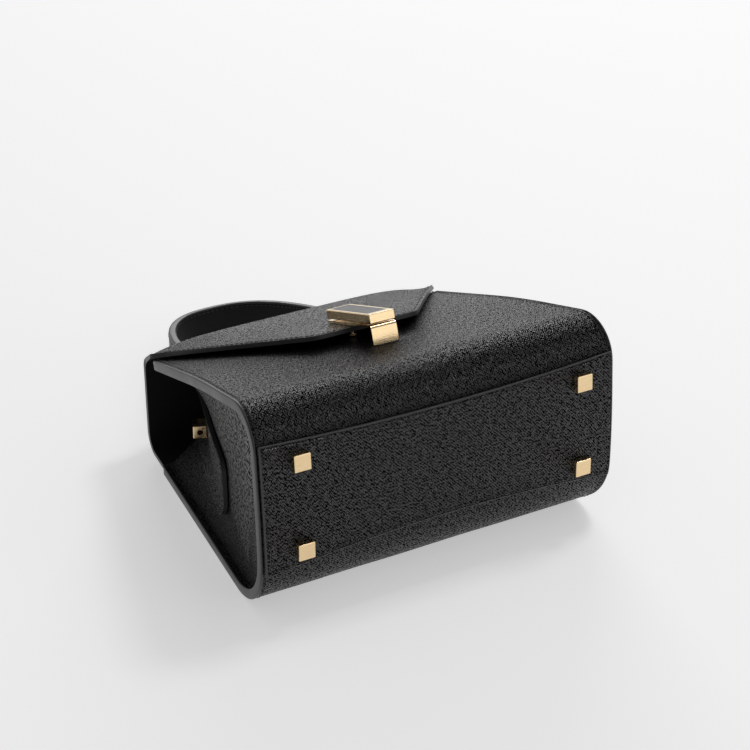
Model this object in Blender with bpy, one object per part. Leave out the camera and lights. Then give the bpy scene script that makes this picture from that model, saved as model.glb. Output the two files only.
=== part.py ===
"""A small structured leather handbag with a flap, a turning lock and an arched handle.

The bag lies on its back. X runs along its length, +Y from its base towards its handle and
+Z up through its front panel. The origin is the middle of the flat stretch of its back.
"""
import math

import bmesh
import bpy
from mathutils import Matrix, Vector

MM = 0.001

# Body: the side profile is measured along the back (height) and up from it (depth)
BASE_LENGTH = 200 * MM
END_LEAN = 13.4 * MM
BASE_DEPTH = 118.5 * MM
BACK_ANGLE = math.radians(86)
BACK_TOP = 150 * MM
FRONT_TOP_HEIGHT = 157.4 * MM
FRONT_TOP_DEPTH = 67.2 * MM
BACK_CORNER_RADIUS = 35.7 * MM
FRONT_CORNER_RADIUS = 20.4 * MM
BASE_CROWN = 1.9 * MM
FRONT_CROWN = 2.7 * MM
WRAP_WALL = 2.6 * MM
SEAM_GAP = 0.3 * MM

# Gussets: a flange along the wrap and a web that folds inwards along a valley
GUSSET_WALL = 2.2 * MM
FLANGE_WIDTH = 4.0 * MM
VALLEY_FOOT = 30 * MM
VALLEY_FOOT_INSET = 4.3 * MM
VALLEY_TOP_INSET = 34 * MM
VALLEY_SWEEP = 0.5
VALLEY_FOOT_DEPTH = 17 * MM
VALLEY_DEPTH = 27 * MM
VALLEY_BEND = 4
FRONT_WEB_FULLNESS = 3.0
BACK_WEB_FULLNESS = 1.2
TAB_WALL = 2.2 * MM
TAB_FOOT = 72 * MM
TAB_FRONT_WIDTH = 25 * MM
TAB_BACK_WIDTH = 8 * MM
TAB_CORNER_RADIUS = 6 * MM
TAB_SEAT = 0.7 * MM
TAB_LIMIT = 0.9
TAB_ROW_CROWDING = 1.6
GUSSET_LEVELS = 12
GUSSET_WEBS = 7
GUSSET_FOOT_STEPS = 30

# Flap: tail inside the back panel, over the top, and a tongue on the front
FLAP_WALL = 2.4 * MM
TOP_HEIGHT = 176.7 * MM
TAIL_LENGTH = 30 * MM
TAIL_SETBACK = 9 * MM
TAIL_SHOULDER = 0.8 * MM
FLAP_BACK_RADIUS = 11 * MM
FLAP_FRONT_RADIUS = 8 * MM
FOLD_DEPTH = 58 * MM
FOLD_CROWN = 7.5 * MM
FOLD_FLATNESS = 6
TONGUE_HALF_WIDTH = 30 * MM
TONGUE_REACH = 75 * MM
TONGUE_RISE = 10 * MM
SHOULDER_REACH = 162 * MM
SHOULDER_RISE = 3.2 * MM
TONGUE_CORNER_RADIUS = 9 * MM
EDGE_STEP = 9 * MM
TONGUE_ROWS = 6
FLAP_STEPS = 8
TAIL_ROWS = 4

# Base panel and feet: places are measured along the base from the back corner
PANEL_WALL = 2.0 * MM
PANEL_MIDDLE = 64.4 * MM
PANEL_DEPTH = 71.1 * MM
PANEL_END_MARGIN = 1.5 * MM
PANEL_BACK_BOW = 6.5 * MM
PANEL_FRONT_BOW = 3.5 * MM
FOOT_SIDE = 8.8 * MM
FOOT_HEIGHT = 4.2 * MM
FOOT_FROM_END = 21 * MM
FOOT_SPACING = 47.7 * MM
FOOT_MIDDLE = 65 * MM
FOOT_SEAT = 0.1 * MM
FOOT_BEVEL = 0.4 * MM
BASE_SIDE = 60 * MM

# Handle: half an ellipse that droops towards the back as the bag lies
HANDLE_HALF_SPAN = 52.6 * MM
HANDLE_RISE = 103.5 * MM
HANDLE_WIDTH = 19 * MM
HANDLE_THICKNESS = 4.4 * MM
HANDLE_TOP_DEPTH = 47.6 * MM
HANDLE_DROOP = 0.25
HANDLE_SHAPE = 2.47
HANDLE_TOE = 17 * MM
HANDLE_TOE_RADIUS = 5 * MM
HANDLE_SPRING = 157 * MM
ARCH_STEPS = 64

# Lock: sizes along the tongue, across it and out from it
LOCK_LENGTH = 50 * MM
LOCK_WIDTH = 14.4 * MM
LOCK_BEYOND_TONGUE = 20 * MM
PLATE_THICKNESS = 1.2 * MM
BLOCK_HEIGHT = 4.9 * MM
BLOCK_GAP = 0.8 * MM
INLAY_MARGIN = 1.6 * MM
INLAY_END_MARGIN = 4.4 * MM
INLAY_RECESS = 1.1 * MM
SPINDLE_RADIUS = 2.4 * MM
SPINDLE_CLEARANCE = 0.3 * MM
LEG_CLEARANCE = 0.5 * MM
POST_RADIUS = 1.0 * MM
POST_FOOT_RADIUS = 2.2 * MM
POST_FOOT_HEIGHT = 0.8 * MM
POST_BEHIND_TIP = 15 * MM
POST_OFFSET = -1.5 * MM
BLOCK_BEVEL = 0.35 * MM

# Side lugs: a square block with an eye for a strap's clip
LUG_HEIGHT = 132 * MM
LUG_OFFSET = 6 * MM
LUG_SIDE = 8.4 * MM
LUG_DEPTH = 7.6 * MM
LUG_REACH = 7.4 * MM
LUG_EYE_RADIUS = 1.6 * MM

CORNER_STEPS = 14
CROWN_STEPS = 4
FLAT_CORNER = math.radians(80)
CROWN_SPREAD = 0.15
MERGE_DISTANCE = 0.01 * MM
LEATHER = ((0.016, 0.016, 0.018), 0.48, 0.0)
GOLD = ((0.83, 0.68, 0.42), 0.2, 1.0)


# Paths in a plane

def mix(a, b, share):
    """Point or number between a and b."""
    return a + (b - a) * share


def rounded(points, radii, corner_steps=CORNER_STEPS):
    """Line through 2-D points with each inner corner turned into an arc."""
    path = [points[0]]
    for before, corner, after, radius in zip(points, points[1:], points[2:], radii):
        u = (before - corner).normalized()
        v = (after - corner).normalized()
        half = u.angle(v) / 2
        steps = corner_steps if half < FLAT_CORNER else CROWN_STEPS
        centre = corner + (u + v).normalized() * radius / math.sin(half)
        start = corner + u * radius / math.tan(half) - centre
        turn = math.pi - 2 * half
        if u.x * v.y - u.y * v.x > 0:
            turn = -turn
        for step in range(steps + 1):
            path.append(centre + Matrix.Rotation(turn * step / steps, 2) @ start)
    path.append(points[-1])
    return path


def shifted(path, distance):
    """Path moved to its right by distance, with mitred corners."""
    moved = []
    last = len(path) - 1
    for index, point in enumerate(path):
        before = (point - path[index - 1]).normalized() if index else None
        after = (path[index + 1] - point).normalized() if index < last else None
        before = before or after
        after = after or before
        side = Vector((before.y + after.y, -before.x - after.x)).normalized()
        stretch = side.dot(Vector((before.y, -before.x)))
        moved.append(point + side * distance / stretch)
    return moved


def lengths_along(path):
    """Distance of each point from the path's start."""
    total = [0.0]
    for a, b in zip(path, path[1:]):
        total.append(total[-1] + (b - a).length)
    return total


def at_length(path, lengths, distance):
    """Point at a distance along the path."""
    for index in range(1, len(path)):
        if distance <= lengths[index] or index == len(path) - 1:
            share = (distance - lengths[index - 1]) / (lengths[index] - lengths[index - 1])
            return mix(path[index - 1], path[index], share)
    return path[-1]


def crossing(path, measure, value):
    """First point of the path where measure(point) passes value."""
    for a, b in zip(path, path[1:]):
        low, high = measure(a), measure(b)
        if (low - value) * (high - value) <= 0 and low != high:
            return mix(a, b, (value - low) / (high - low))
    return path[-1]


# The side profile, as points of height and depth

BACK_CORNER = Vector((0.0, 0.0))
BASE_DIRECTION = Vector((math.cos(BACK_ANGLE), math.sin(BACK_ANGLE)))
FRONT_CORNER = BASE_DIRECTION * BASE_DEPTH
FRONT_TOP = Vector((FRONT_TOP_HEIGHT, FRONT_TOP_DEPTH))
FRONT_DIRECTION = (FRONT_TOP - FRONT_CORNER).normalized()
FRONT_NORMAL = Vector((-FRONT_DIRECTION.y, FRONT_DIRECTION.x))
REST_MIDDLE = (BACK_TOP + BACK_CORNER_RADIUS / math.tan(BACK_ANGLE / 2)) / 2


def raised_middle(a, b, rise):
    """Middle of a stretch, moved out to its left, with the radius that rounds it softly."""
    stretch = b - a
    side = Vector((-stretch.y, stretch.x)).normalized()
    half_turn = math.atan2(rise, stretch.length / 2)
    return mix(a, b, 0.5) + side * rise, stretch.length * CROWN_SPREAD / math.tan(half_turn)


def body_profile():
    """Outer line of the wrap: from the top of the back, round the base, to the top of the front."""
    base_middle, base_radius = raised_middle(BACK_CORNER, FRONT_CORNER, BASE_CROWN)
    front_middle, front_radius = raised_middle(FRONT_CORNER, FRONT_TOP, FRONT_CROWN)
    corners = [Vector((BACK_TOP, 0.0)), BACK_CORNER, base_middle, FRONT_CORNER, front_middle, FRONT_TOP]
    return rounded(corners, [BACK_CORNER_RADIUS, base_radius, FRONT_CORNER_RADIUS, front_radius])


PROFILE = body_profile()


def front_point(reach, rise):
    """Point over the front panel: reach from the front corner, rise out from its chord."""
    return FRONT_CORNER + FRONT_DIRECTION * reach + FRONT_NORMAL * rise


def half_length(point):
    """Half of the bag's length at a point of the side view."""
    above_base = point.x - point.y / math.tan(BACK_ANGLE)
    return BASE_LENGTH / 2 - END_LEAN * above_base / FRONT_TOP_HEIGHT


def place(x, point):
    """Point in space from a length and a point of the side view."""
    return Vector((x, point.x, point.y))


# Meshes and objects

def material(name, look):
    """Plain surface with a colour, a roughness and a metallic value."""
    colour, roughness, metallic = look
    made = bpy.data.materials.new(name)
    made.use_nodes = True
    shader = made.node_tree.nodes["Principled BSDF"]
    shader.inputs["Base Color"].default_value = (*colour, 1)
    shader.inputs["Roughness"].default_value = roughness
    shader.inputs["Metallic"].default_value = metallic
    made.diffuse_color = (*colour, 1)
    return made


def add_object(name, mesh, look, frame=None):
    """Object on the bag's frame, shaded smooth but for its sharp edges."""
    mesh.materials.append(material(name, look))
    mesh.shade_smooth()
    mesh.set_sharp_from_angle(angle=math.radians(35))
    made = bpy.data.objects.new(name, mesh)
    bpy.context.collection.objects.link(made)
    made.parent = BAG_FRAME
    if frame is not None:
        made.matrix_local = frame
    return made


def mesh_from(name, points, faces):
    """Mesh with outward faces from points and index lists, doubles merged."""
    mesh = bpy.data.meshes.new(name)
    mesh.from_pydata(points, [], faces)
    work = bmesh.new()
    work.from_mesh(mesh)
    bmesh.ops.remove_doubles(work, verts=work.verts, dist=MERGE_DISTANCE)
    bmesh.ops.recalc_face_normals(work, faces=work.faces)
    work.to_mesh(mesh)
    work.free()
    return mesh


def sheet_mesh(name, rows, towards):
    """Open sheet over a grid of points, its faces turned towards a direction as a whole."""
    wide = len(rows[0])
    tall = len(rows)
    points = [point for row in rows for point in row]
    faces = []
    for r in range(tall - 1):
        for c in range(wide - 1):
            a = r * wide + c
            faces.append([a, a + 1, a + wide + 1, a + wide])
    facing = Vector()
    for a, b, c, d in faces:
        facing += (points[c] - points[a]).cross(points[d] - points[b])
    if facing.dot(towards) < 0:
        faces = [face[::-1] for face in faces]
    mesh = bpy.data.meshes.new(name)
    mesh.from_pydata(points, [], faces)
    work = bmesh.new()
    work.from_mesh(mesh)
    bmesh.ops.remove_doubles(work, verts=work.verts, dist=MERGE_DISTANCE)
    bmesh.ops.dissolve_degenerate(work, edges=work.edges, dist=MERGE_DISTANCE)
    work.to_mesh(mesh)
    work.free()
    return mesh


def thicken(target, wall, side=-1):
    """Gives a sheet its wall: behind its faces for side -1, in front of them for side 1."""
    modifier = target.modifiers.new("wall", "SOLIDIFY")
    modifier.thickness = wall
    modifier.offset = side
    modifier.use_even_offset = True
    modifier.use_quality_normals = True


def extruded(name, outline, low, high, to_space):
    """Closed band between two plane outlines; to_space(point, side) places a corner."""
    count = len(outline)
    points = [to_space(point, low) for point in outline] + [to_space(point, high) for point in outline]
    faces = [[i, (i + 1) % count, count + (i + 1) % count, count + i] for i in range(count)]
    half = count // 2
    for i in range(half - 1):
        quad = [i, i + 1, count - 2 - i, count - 1 - i]
        faces.append(quad[::-1])
        faces.append([count + index for index in quad])
    return mesh_from(name, points, faces)


def box_mesh(name, low, high, bevel=0.0):
    """Box between two corners with its edges bevelled."""
    work = bmesh.new()
    bmesh.ops.create_cube(work, size=1)
    middle = (low + high) / 2
    size = high - low
    for vert in work.verts:
        vert.co = Vector(a * b for a, b in zip(vert.co, size)) + middle
    if bevel:
        bmesh.ops.bevel(work, geom=work.edges[:], offset=bevel, segments=2, profile=0.5, affect="EDGES")
    mesh = bpy.data.meshes.new(name)
    work.to_mesh(mesh)
    work.free()
    return mesh


def cylinder_mesh(name, radius, low, high, sides=20):
    """Round bar along the third axis from low to high."""
    work = bmesh.new()
    bmesh.ops.create_cone(work, cap_ends=True, segments=sides, radius1=radius, radius2=radius,
                          depth=high - low, matrix=Matrix.Translation((0, 0, (low + high) / 2)))
    mesh = bpy.data.meshes.new(name)
    work.to_mesh(mesh)
    work.free()
    return mesh


def add_tool(target, name, mesh, operation, frame=None):
    """Hidden shape that is joined to the target or cut out of it."""
    tool = bpy.data.objects.new(name, mesh)
    bpy.context.collection.objects.link(tool)
    tool.parent = target
    if frame is not None:
        tool.matrix_local = frame
    tool.hide_render = True
    tool.display_type = "WIRE"
    modifier = target.modifiers.new(name, "BOOLEAN")
    modifier.object = tool
    modifier.operation = operation
    modifier.solver = "EXACT"


# Leather

def add_wrap():
    """Front, base and back panels in one wall."""
    inner = shifted(PROFILE, WRAP_WALL)
    outline = PROFILE + inner[::-1]

    def to_space(point, side):
        return place(side * half_length(point), point)

    add_object("body_wrap", extruded("body_wrap", outline, -1, 1, to_space), LEATHER)


def valley_share(height):
    """0 at the foot of the valley, 1 at the top of the front panel."""
    return (height - VALLEY_FOOT) / (FRONT_TOP_HEIGHT - VALLEY_FOOT)


def valley_point(height):
    """Point of the fold line in the side view: it bends towards the back at its foot."""
    share = min(max(valley_share(height), 0.0), 1.0)
    return Vector((height, mix(VALLEY_DEPTH, VALLEY_FOOT_DEPTH, (1 - share) ** VALLEY_BEND)))


def valley_inset(height):
    """How far the fold line lies inside the end of the bag."""
    share = max(valley_share(height), 0.0)
    return mix(VALLEY_FOOT_INSET, VALLEY_TOP_INSET, mix(share, share ** 3, VALLEY_SWEEP))


LINING_LINE = shifted(PROFILE, WRAP_WALL + SEAM_GAP + GUSSET_WALL)


def web_edge(side, share):
    """Point of the web's outer edge: back for side -1, front for side 1, foot at share 0."""
    path = LINING_LINE if side < 0 else LINING_LINE[::-1]
    top = path[0].x
    return crossing(path, lambda point: point.x, mix(VALLEY_FOOT, top, share))


def web_point(side, share, across):
    """Point of the gusset's visible face and its inset; across is 0 in the fold, 1 at the edge."""
    edge = web_edge(side, share)
    height = mix(VALLEY_FOOT, web_top(), share)
    flat = mix(valley_point(height), edge, across)
    fullness = FRONT_WEB_FULLNESS if side > 0 else BACK_WEB_FULLNESS
    inset = mix(FLANGE_WIDTH, valley_inset(height), 1 - across ** fullness)
    return flat, inset


def end_point(end, flat, inset):
    """Point at one end of the bag, inset from its end plane."""
    return place(end * (half_length(flat) - inset), flat)


def add_gusset(name, end):
    """Flange and folded web of one end of the bag."""
    rows = []
    for side in (-1, 1):
        shares = [step / GUSSET_LEVELS for step in range(GUSSET_LEVELS + 1)]
        for share in (shares[::-1] if side < 0 else shares):
            row = [(web_edge(side, share), 0.0)]
            row += [web_point(side, share, 1 - web / GUSSET_WEBS) for web in range(GUSSET_WEBS + 1)]
            rows.append(row)
        if side < 0:
            rows += gusset_foot()
    grid = [[end_point(end, flat, inset) for flat, inset in row] for row in rows]
    gusset = add_object(name, sheet_mesh(name, grid, Vector((end, 0, 0))), LEATHER)
    thicken(gusset, GUSSET_WALL)


def gusset_foot():
    """Rows between the two sides of the gusset, round the base, all meeting at the valley's foot."""
    line = [point for point in LINING_LINE if point.x < VALLEY_FOOT]
    line = [web_edge(-1, 0.0)] + line + [web_edge(1, 0.0)]
    lengths = lengths_along(line)
    rows = []
    for step in range(1, GUSSET_FOOT_STEPS):
        edge = at_length(line, lengths, lengths[-1] * step / GUSSET_FOOT_STEPS)
        row = [(edge, 0.0)]
        for web in range(GUSSET_WEBS + 1):
            flat = mix(edge, valley_point(VALLEY_FOOT), web / GUSSET_WEBS)
            row.append((flat, mix(FLANGE_WIDTH, VALLEY_FOOT_INSET, web / GUSSET_WEBS)))
        rows.append(row)
    return rows


def add_side_tab(name, end):
    """Wide tab that lies over the fold, square at its foot with round corners."""
    rises = 14
    half_columns = 5
    foot_share = web_share(TAB_FOOT)
    rows = []
    for step in range(rises + 1):
        share = mix(foot_share, 1.0, (step / rises) ** TAB_ROW_CROWDING)
        above = (share - foot_share) * (web_top() - VALLEY_FOOT)
        cut = max(TAB_CORNER_RADIUS - above, 0.0)
        corner = TAB_CORNER_RADIUS - math.sqrt(TAB_CORNER_RADIUS ** 2 - cut ** 2)
        row = []
        for column in range(-half_columns, half_columns + 1):
            side = -1 if column < 0 else 1
            across = abs(column) / half_columns * web_reach(side, share, tab_half_width(side) - corner)
            flat, inset = web_point(side, share, across)
            row.append(end_point(end, flat, inset - TAB_SEAT))
        rows.append(row)
    tab = add_object(name, sheet_mesh(name, rows, Vector((end, 0, 0))), LEATHER)
    thicken(tab, TAB_WALL, 1)


def web_top():
    """Height of the top of the gussets in their middle."""
    return (LINING_LINE[0].x + LINING_LINE[-1].x) / 2


def web_share(height):
    """Share of the way up the gusset, measured in its middle."""
    return (height - VALLEY_FOOT) / (web_top() - VALLEY_FOOT)


def tab_half_width(side):
    """Width of the tab on one side of the fold."""
    return TAB_FRONT_WIDTH if side > 0 else TAB_BACK_WIDTH


def web_reach(side, share, width):
    """Width beside the fold as a share of the way to the web's edge, short of the edge."""
    fold = web_point(side, share, 0.0)[0]
    edge = web_point(side, share, 1.0)[0]
    return min(width / (edge - fold).length, TAB_LIMIT)


def flap_width(height):
    """Half of the flap's width as a share of the bag's: the tail is set back inside the gussets."""
    at = Vector((height, 0.0))
    full = half_length(at)
    tail = full - TAIL_SETBACK
    return mix(tail, full, min(max((height - BACK_TOP - TAIL_SHOULDER) / TAIL_SHOULDER, 0.0), 1.0))


def tongue_edge():
    """Free edge of the flap: reach along the front against length, from the left to the right."""
    half_fold = half_length(front_point(SHOULDER_REACH, 0.0))
    outline = [Vector((-half_fold, SHOULDER_REACH)), Vector((-TONGUE_HALF_WIDTH, TONGUE_REACH)),
               Vector((TONGUE_HALF_WIDTH, TONGUE_REACH)), Vector((half_fold, SHOULDER_REACH))]
    path = rounded(outline, [TONGUE_CORNER_RADIUS] * 2, FLAP_STEPS)
    edge = []
    for a, b in zip(path, path[1:]):
        pieces = max(1, round((b - a).length / EDGE_STEP))
        edge += [mix(a, b, step / pieces) for step in range(pieces)]
    return edge + [path[-1]]


def flap_line(share, reach):
    """Outer line of the flap in the side view; share is the place across it, -1 to 1."""
    crown = FOLD_CROWN * (1 - abs(share) ** FOLD_FLATNESS)
    down = (SHOULDER_REACH - reach) / (SHOULDER_REACH - TONGUE_REACH)
    rise = mix(SHOULDER_RISE, TONGUE_RISE, down)
    tail_depth = WRAP_WALL + SEAM_GAP
    corners = [Vector((BACK_TOP - TAIL_LENGTH, tail_depth)), Vector((TOP_HEIGHT, tail_depth)),
               Vector((TOP_HEIGHT, FOLD_DEPTH + crown)), front_point(reach, rise)]
    return rounded(corners, [FLAP_BACK_RADIUS, FLAP_FRONT_RADIUS], FLAP_STEPS)


def add_flap():
    """Tail, top and tongue in one sheet."""
    edge = tongue_edge()
    half_fold = half_length(front_point(SHOULDER_REACH, 0.0))
    columns = []
    for end in edge:
        share = end.x / half_fold
        line = flap_line(share, end.y)
        path = [line[0], Vector((BACK_TOP, line[0].y)), Vector((BACK_TOP + TAIL_SHOULDER, line[0].y)),
                Vector((BACK_TOP + 2 * TAIL_SHOULDER, line[0].y))] + line[1:-1]
        path += [mix(line[-2], line[-1], step / TONGUE_ROWS) for step in range(1, TONGUE_ROWS + 1)]
        fold_row = len(path) - TONGUE_ROWS - 1
        column = []
        for row, point in enumerate(path):
            if row < TAIL_ROWS:
                x = share * flap_width(point.x)
            elif row <= fold_row:
                x = share * half_length(point)
            else:
                x = mix(share * half_length(point), end.x, (row - fold_row) / TONGUE_ROWS)
            column.append(place(x, point))
        columns.append(column)
    flap = add_object("flap", sheet_mesh("flap", columns, Vector((0, 1, 1))), LEATHER)
    thicken(flap, FLAP_WALL)


def base_point(along, rise):
    """Point on the base's surface, along from the back corner, lifted off it by rise."""
    lifted = [point for point in shifted(PROFILE, -rise) if point.x < BASE_SIDE]
    return crossing(lifted, lambda point: point.dot(BASE_DIRECTION), along)


def add_base_panel():
    """Second layer on the base, with its long edges bowed inwards."""
    columns = 16
    steps = 20
    rows = []
    for column in range(columns + 1):
        share = 2 * column / columns - 1
        bow = 1 - share * share
        back = PANEL_MIDDLE - PANEL_DEPTH / 2 + PANEL_BACK_BOW * bow
        front = PANEL_MIDDLE + PANEL_DEPTH / 2 - PANEL_FRONT_BOW * bow
        row = []
        for step in range(steps + 1):
            point = base_point(mix(back, front, step / steps), SEAM_GAP + PANEL_WALL)
            row.append(place(share * (half_length(point) - PANEL_END_MARGIN), point))
        rows.append(row)
    panel = add_object("base_panel", sheet_mesh("base_panel", rows, Vector((0, -1, 0))), LEATHER)
    thicken(panel, PANEL_WALL)


def base_frame(x, along, rise):
    """Frame on the base: first axis along X, third axis out of the base."""
    point = base_point(along, rise)
    ahead = base_point(along + FOOT_SIDE / 2, rise) - base_point(along - FOOT_SIDE / 2, rise)
    up = Vector((0, *ahead.normalized()))
    out = Vector((1, 0, 0)).cross(up)
    frame = Matrix((Vector((1, 0, 0)), up, out)).transposed().to_4x4()
    frame.translation = place(x, point)
    return frame


def add_feet():
    """Four square feet."""
    half = FOOT_SIDE / 2
    number = 0
    for side in (-1, 1):
        for row in (-1, 1):
            number += 1
            x = side * (BASE_LENGTH / 2 - FOOT_FROM_END)
            frame = base_frame(x, FOOT_MIDDLE + row * FOOT_SPACING / 2, PANEL_WALL + 2 * SEAM_GAP)
            name = f"foot_{number}"
            low = Vector((-half, -half, FOOT_SEAT))
            mesh = box_mesh(name, low, Vector((half, half, FOOT_HEIGHT)), FOOT_BEVEL)
            add_object(name, mesh, GOLD, frame)


def handle_centre():
    """Middle line of the handle, as points of length and height, from the left toe to the right."""
    half_span = HANDLE_HALF_SPAN - HANDLE_THICKNESS / 2
    rise = HANDLE_RISE + (TOP_HEIGHT - HANDLE_SPRING) - HANDLE_THICKNESS / 2
    seat = TOP_HEIGHT + SEAM_GAP + HANDLE_THICKNESS / 2
    arch = []
    for step in range(ARCH_STEPS + 1):
        turn = math.pi * (1 - step / ARCH_STEPS)
        x = math.copysign(abs(math.cos(turn)) ** (2 / HANDLE_SHAPE), math.cos(turn)) * half_span
        y = HANDLE_SPRING + math.sin(turn) ** (2 / HANDLE_SHAPE) * rise
        if y > seat + HANDLE_TOE_RADIUS * 1.5:
            arch.append(Vector((x, y)))
    leg = Vector((arch[0].x - (arch[1].x - arch[0].x) * (arch[0].y - seat) / (arch[1].y - arch[0].y), seat))
    toe = Vector((leg.x - HANDLE_TOE, seat))
    turned = rounded([toe, leg, arch[0]], [HANDLE_TOE_RADIUS])
    mirrored = [Vector((-point.x, point.y)) for point in reversed(turned)]
    return turned[:-1] + arch + mirrored[1:]


def add_handle():
    """Flat strap bent into an arch, its toes turned out on the top of the flap."""
    centre = handle_centre()
    half = HANDLE_THICKNESS / 2
    outline = shifted(centre, -half) + shifted(centre, half)[::-1]

    def to_space(point, side):
        top = HANDLE_TOP_DEPTH - HANDLE_DROOP * (point.y - TOP_HEIGHT)
        return Vector((point.x, point.y, top + side * HANDLE_WIDTH))

    add_object("handle", extruded("handle", outline, -1, 0, to_space), LEATHER)


# Lock: its frame lies on the tongue, first axis across, second towards the handle, third out

def tongue_line():
    """Outer line of the tongue in its middle: its root, and its tip."""
    line = flap_line(0.0, TONGUE_REACH)
    return line[-2], line[-1]


def lock_frame():
    """Frame on the tongue's surface in the middle of the lock."""
    root, tip = tongue_line()
    up = (root - tip).normalized()
    along = Vector((0, up.x, up.y))
    out = Vector((1, 0, 0)).cross(along)
    frame = Matrix((Vector((1, 0, 0)), along, out)).transposed().to_4x4()
    frame.translation = place(0.0, tip + up * (LOCK_LENGTH / 2 - LOCK_BEYOND_TONGUE))
    return frame


def depth_below_lock(along):
    """Distance from the tongue's plane down to the front panel, at a place along the lock."""
    frame = lock_frame()
    start = frame @ Vector((0, along, 0))
    down = frame.to_3x3() @ Vector((0, 0, -1))
    beside = Vector((-down.z, down.y))
    origin = Vector((start.y, start.z))
    hit = crossing(PROFILE[::-1], lambda point: (point - origin).dot(beside), 0.0)
    return (hit - origin).length


def add_lock_plate():
    """Thin plate under the block, bent down into a leg in front of the tongue."""
    half = LOCK_WIDTH / 2
    end = LOCK_LENGTH / 2
    top = SEAM_GAP + PLATE_THICKNESS
    low = LEG_CLEARANCE - depth_below_lock(-end)
    middle = top - PLATE_THICKNESS / 2
    leg = PLATE_THICKNESS / 2 - end
    centre = rounded([Vector((end, middle)), Vector((leg, middle)), Vector((leg, low))], [PLATE_THICKNESS])
    outline = shifted(centre, -PLATE_THICKNESS / 2) + shifted(centre, PLATE_THICKNESS / 2)[::-1]

    def to_space(point, side):
        return Vector((side * half, point.x, point.y))

    plate = add_object("lock_plate", extruded("lock_plate", outline, -1, 1, to_space), GOLD, lock_frame())
    hole = cylinder_mesh("spindle_hole", SPINDLE_RADIUS + SPINDLE_CLEARANCE, -top, 2 * top)
    add_tool(plate, "spindle_hole", hole, "DIFFERENCE")


def add_lock_block():
    """Turning block with its spindle and the recess for the inlay; its origin is on its axis."""
    half = LOCK_WIDTH / 2
    end = LOCK_LENGTH / 2
    low = SEAM_GAP + PLATE_THICKNESS + BLOCK_GAP
    top = low + BLOCK_HEIGHT
    mesh = box_mesh("lock_block", Vector((-half, -end, low)), Vector((half, end, top)), BLOCK_BEVEL)
    block = add_object("lock_block", mesh, GOLD, lock_frame())
    recess = box_mesh("inlay_recess", inlay_corner(-1, top - INLAY_RECESS), inlay_corner(1, top + INLAY_RECESS))
    add_tool(block, "inlay_recess", recess, "DIFFERENCE")
    spindle = cylinder_mesh("lock_spindle", SPINDLE_RADIUS, 2 * SEAM_GAP, low + BLOCK_HEIGHT / 2)
    add_tool(block, "lock_spindle", spindle, "UNION")
    seat = Vector((SEAM_GAP, SEAM_GAP, SEAM_GAP))
    rim = Vector((SEAM_GAP, SEAM_GAP, 0))
    inlay = box_mesh("lock_inlay", inlay_corner(-1, top - INLAY_RECESS) + seat, inlay_corner(1, top) - rim)
    add_object("lock_inlay", inlay, LEATHER, lock_frame())


def inlay_corner(side, height):
    """Corner of the recess: the margin is wider at the end over the leg."""
    end = LOCK_LENGTH / 2
    along = end - INLAY_MARGIN if side > 0 else INLAY_END_MARGIN - end
    return Vector((side * (LOCK_WIDTH / 2 - INLAY_MARGIN), along, height))


def add_lock_post():
    """Pin on the front panel under the tongue, with a small round foot."""
    along = LOCK_BEYOND_TONGUE - LOCK_LENGTH / 2 + POST_BEHIND_TIP
    frame = lock_frame() @ Matrix.Translation((POST_OFFSET, along, 0))
    floor = SEAM_GAP - depth_below_lock(along)
    top = -FLAP_WALL - SEAM_GAP
    foot = cylinder_mesh("lock_post", POST_FOOT_RADIUS, floor, floor + POST_FOOT_HEIGHT)
    post = add_object("lock_post", foot, GOLD, frame)
    pin = cylinder_mesh("lock_pin", POST_RADIUS, floor + POST_FOOT_HEIGHT / 2, top)
    add_tool(post, "lock_pin", pin, "UNION")


def lug_seat(height, end):
    """Point of the gusset under the middle of the lug, with the least inset that the lug covers."""
    share = web_share(height)
    flat, _ = web_point(1, share, web_reach(1, share, LUG_OFFSET))
    _, inset = web_point(1, share, web_reach(1, share, LUG_OFFSET + LUG_DEPTH / 2))
    return end_point(end, flat, inset)


def add_lug(name, end):
    """Square block on the side tab, just in front of the fold, with an eye through it."""
    low = lug_seat(LUG_HEIGHT - LUG_SIDE / 2, end)
    high = lug_seat(LUG_HEIGHT + LUG_SIDE / 2, end)
    along = (high - low).normalized()
    out = along.cross(Vector((0, 0, 1))).normalized()
    frame = Matrix((out, along, out.cross(along))).transposed().to_4x4()
    frame.translation = (low + high) / 2
    foot = TAB_SEAT + TAB_WALL + SEAM_GAP
    half = Vector((0, LUG_SIDE / 2, LUG_DEPTH / 2))
    near = Vector((end * foot, 0, 0))
    far = Vector((end * (foot + LUG_REACH), 0, 0))
    start, finish = (far, near) if end < 0 else (near, far)
    lug = add_object(name, box_mesh(name, start - half, finish + half, FOOT_BEVEL), GOLD, frame)
    eye = cylinder_mesh(name + "_eye", LUG_EYE_RADIUS, -LUG_SIDE, LUG_SIDE)
    turn = Matrix.Translation((near + far) / 2) @ Matrix.Rotation(math.pi / 2, 4, "X")
    add_tool(lug, name + "_eye", eye, "DIFFERENCE", turn)


def build():
    """All sub-parts of the bag."""
    add_wrap()
    for name, end in (("left", -1), ("right", 1)):
        add_gusset(name + "_gusset", end)
        add_side_tab(name + "_side_tab", end)
        add_lug(name + "_lug", end)
    add_base_panel()
    add_feet()
    add_flap()
    add_handle()
    add_lock_plate()
    add_lock_block()
    add_lock_post()


for old in list(bpy.data.objects):
    bpy.data.objects.remove(old, do_unlink=True)
BAG_FRAME = bpy.data.objects.new("bag_frame", None)
bpy.context.collection.objects.link(BAG_FRAME)
BAG_FRAME.location = (0, -REST_MIDDLE, 0)
build()
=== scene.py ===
"""Small structured leather handbag, lying on its back: its leather, edges, thread and gold."""
import math

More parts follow.
